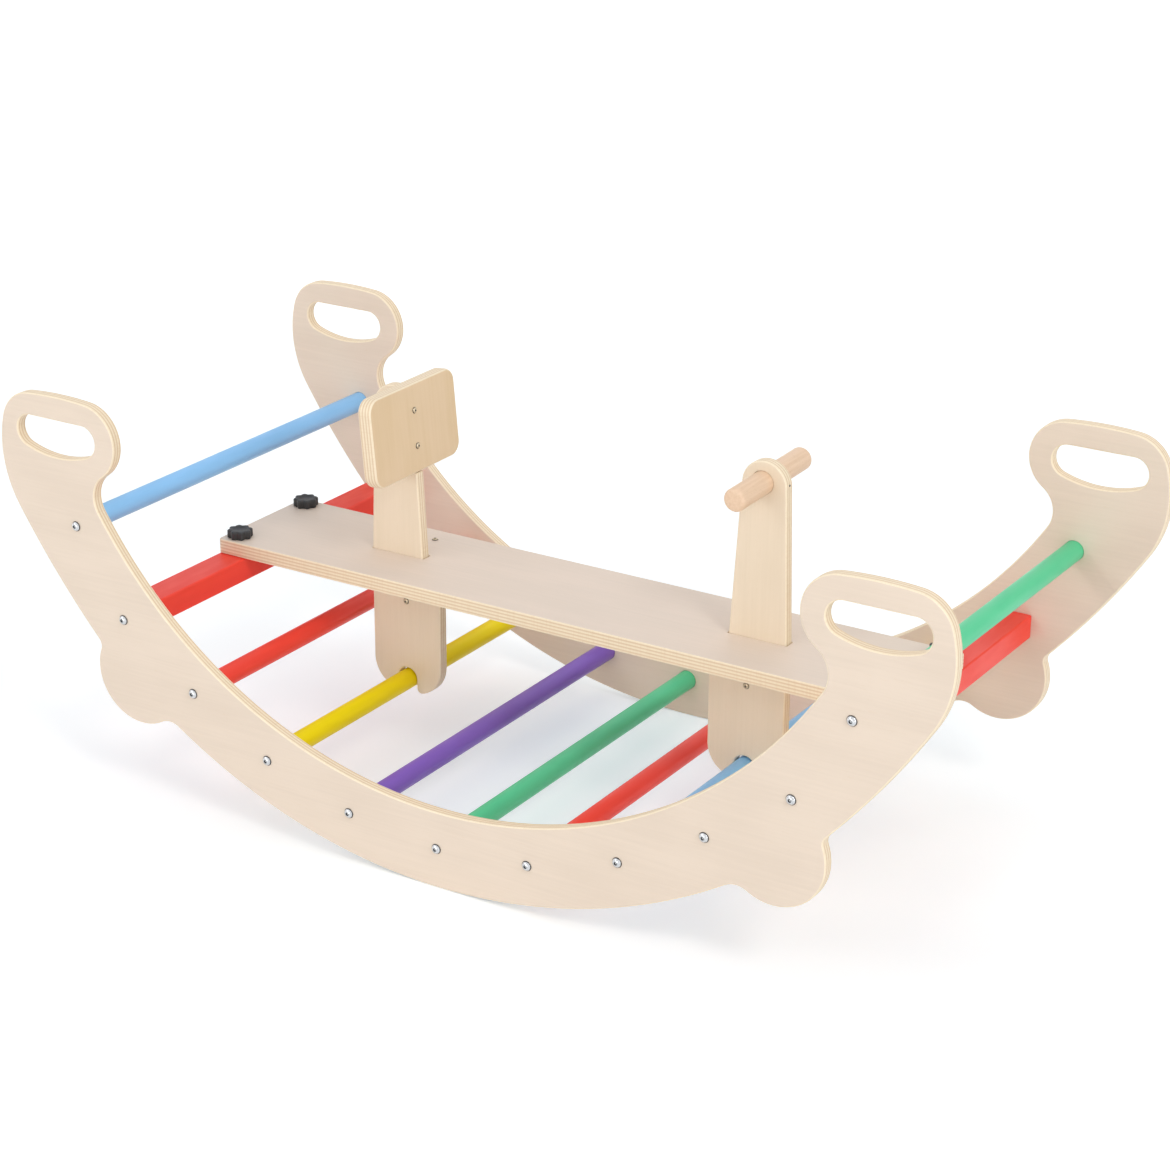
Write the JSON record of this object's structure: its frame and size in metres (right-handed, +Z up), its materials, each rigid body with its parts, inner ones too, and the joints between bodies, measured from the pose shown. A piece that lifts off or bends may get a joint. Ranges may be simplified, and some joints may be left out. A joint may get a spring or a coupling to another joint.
{
  "type": "climbing arch",
  "caption": "Rocker-shaped climbing arch of two curved plywood side panels joined by painted rungs, with a lift-out seat board, backrest and handlebar.",
  "frame": {"origin": "on the floor, under the middle of the arch", "axes": "+X along the arch from the backrest to the handlebar, +Y across it to the far panel, +Z up"},
  "size_m": [0.9998, 0.4728, 0.3934],
  "materials": {
    "plywood": "clear matt lacquer on birch plywood",
    "beech": "clear matt lacquer on beech",
    "paint_blue": "satin paint on beech",
    "paint_red": "satin paint on beech",
    "paint_yellow": "satin paint on beech",
    "paint_purple": "satin paint on beech",
    "paint_green": "satin paint on beech",
    "black_plastic": "moulded, satin",
    "zinc_steel": "bright zinc plating",
    "brass": "turned"
  },
  "bodies": {
    "frame": {"side_panel_near": "plywood", "side_panel_far": "plywood", "rung_1": "paint_blue", "rung_2": "paint_red", "rung_3": "paint_yellow", "rung_4": "paint_purple", "rung_5": "paint_green", "rung_6": "paint_red", "rung_7": "paint_blue", "rung_8": "paint_yellow", "rung_9": "paint_green", "beam_rear": "paint_red", "beam_front": "paint_red", "panel_screw_near_1": "zinc_steel", "panel_screw_near_2": "zinc_steel", "panel_screw_near_3": "zinc_steel", "panel_screw_near_4": "zinc_steel", "panel_screw_near_5": "zinc_steel", "panel_screw_near_6": "zinc_steel", "panel_screw_near_7": "zinc_steel", "panel_screw_near_8": "zinc_steel", "panel_screw_near_9": "zinc_steel", "panel_screw_near_10": "zinc_steel", "panel_screw_near_11": "zinc_steel", "panel_screw_far_1": "zinc_steel", "panel_screw_far_2": "zinc_steel", "panel_screw_far_3": "zinc_steel", "panel_screw_far_4": "zinc_steel", "panel_screw_far_5": "zinc_steel", "panel_screw_far_6": "zinc_steel", "panel_screw_far_7": "zinc_steel", "panel_screw_far_8": "zinc_steel", "panel_screw_far_9": "zinc_steel", "panel_screw_far_10": "zinc_steel", "panel_screw_far_11": "zinc_steel", "insert_1": "brass", "insert_2": "brass", "insert_3": "brass", "insert_4": "brass"},
    "seat": {"seat_board": "plywood", "rear_post": "plywood", "front_post": "plywood", "backrest": "plywood", "handlebar": "beech", "cleat_rear": "beech", "cleat_front": "beech", "leg_screw_rear": "zinc_steel", "leg_screw_front": "zinc_steel", "board_screw_rear": "zinc_steel", "board_screw_front": "zinc_steel", "backrest_screw_upper": "zinc_steel", "backrest_screw_lower": "zinc_steel"},
    "knob_stud_1": {"knob_stud_1": "zinc_steel"},
    "knob_1": {"knob_head_1": "black_plastic"},
    "knob_stud_2": {"knob_stud_2": "zinc_steel"},
    "knob_2": {"knob_head_2": "black_plastic"},
    "knob_stud_3": {"knob_stud_3": "zinc_steel"},
    "knob_3": {"knob_head_3": "black_plastic"},
    "knob_stud_4": {"knob_stud_4": "zinc_steel"},
    "knob_4": {"knob_head_4": "black_plastic"}
  },
  "joints": [
    {"name": "board_lift", "type": "slide", "parent": "frame", "child": "seat", "axis": [0, 0, 1], "range_m": [0, 0.12]},
    {"name": "knob_1_rise", "type": "slide", "parent": "seat", "child": "knob_stud_1", "axis": [0, 0, 1], "range_m": [0, 0.0141]},
    {"name": "knob_1_turn", "type": "hinge", "parent": "knob_stud_1", "child": "knob_1", "pos_m": [-0.35862, -0.054, 0.21141], "axis": [0, 0, 1], "range_deg": [0, 5040]},
    {"name": "knob_2_rise", "type": "slide", "parent": "seat", "child": "knob_stud_2", "axis": [0, 0, 1], "range_m": [0, 0.0141]},
    {"name": "knob_2_turn", "type": "hinge", "parent": "knob_stud_2", "child": "knob_2", "pos_m": [-0.35862, 0.054, 0.21141], "axis": [0, 0, 1], "range_deg": [0, 5040]},
    {"name": "knob_3_rise", "type": "slide", "parent": "seat", "child": "knob_stud_3", "axis": [0, 0, 1], "range_m": [0, 0.0141]},
    {"name": "knob_3_turn", "type": "hinge", "parent": "knob_stud_3", "child": "knob_3", "pos_m": [0.35862, -0.054, 0.21141], "axis": [0, 0, 1], "range_deg": [0, 5040]},
    {"name": "knob_4_rise", "type": "slide", "parent": "seat", "child": "knob_stud_4", "axis": [0, 0, 1], "range_m": [0, 0.0141]},
    {"name": "knob_4_turn", "type": "hinge", "parent": "knob_stud_4", "child": "knob_4", "pos_m": [0.35862, 0.054, 0.21141], "axis": [0, 0, 1], "range_deg": [0, 5040]}
  ],
  "couplings": [
    {"joint": "knob_1_rise", "follows": "knob_1_turn", "m_per_rad": 0.00015915},
    {"joint": "knob_2_rise", "follows": "knob_2_turn", "m_per_rad": 0.00015915},
    {"joint": "knob_3_rise", "follows": "knob_3_turn", "m_per_rad": 0.00015915},
    {"joint": "knob_4_rise", "follows": "knob_4_turn", "m_per_rad": 0.00015915}
  ]
}
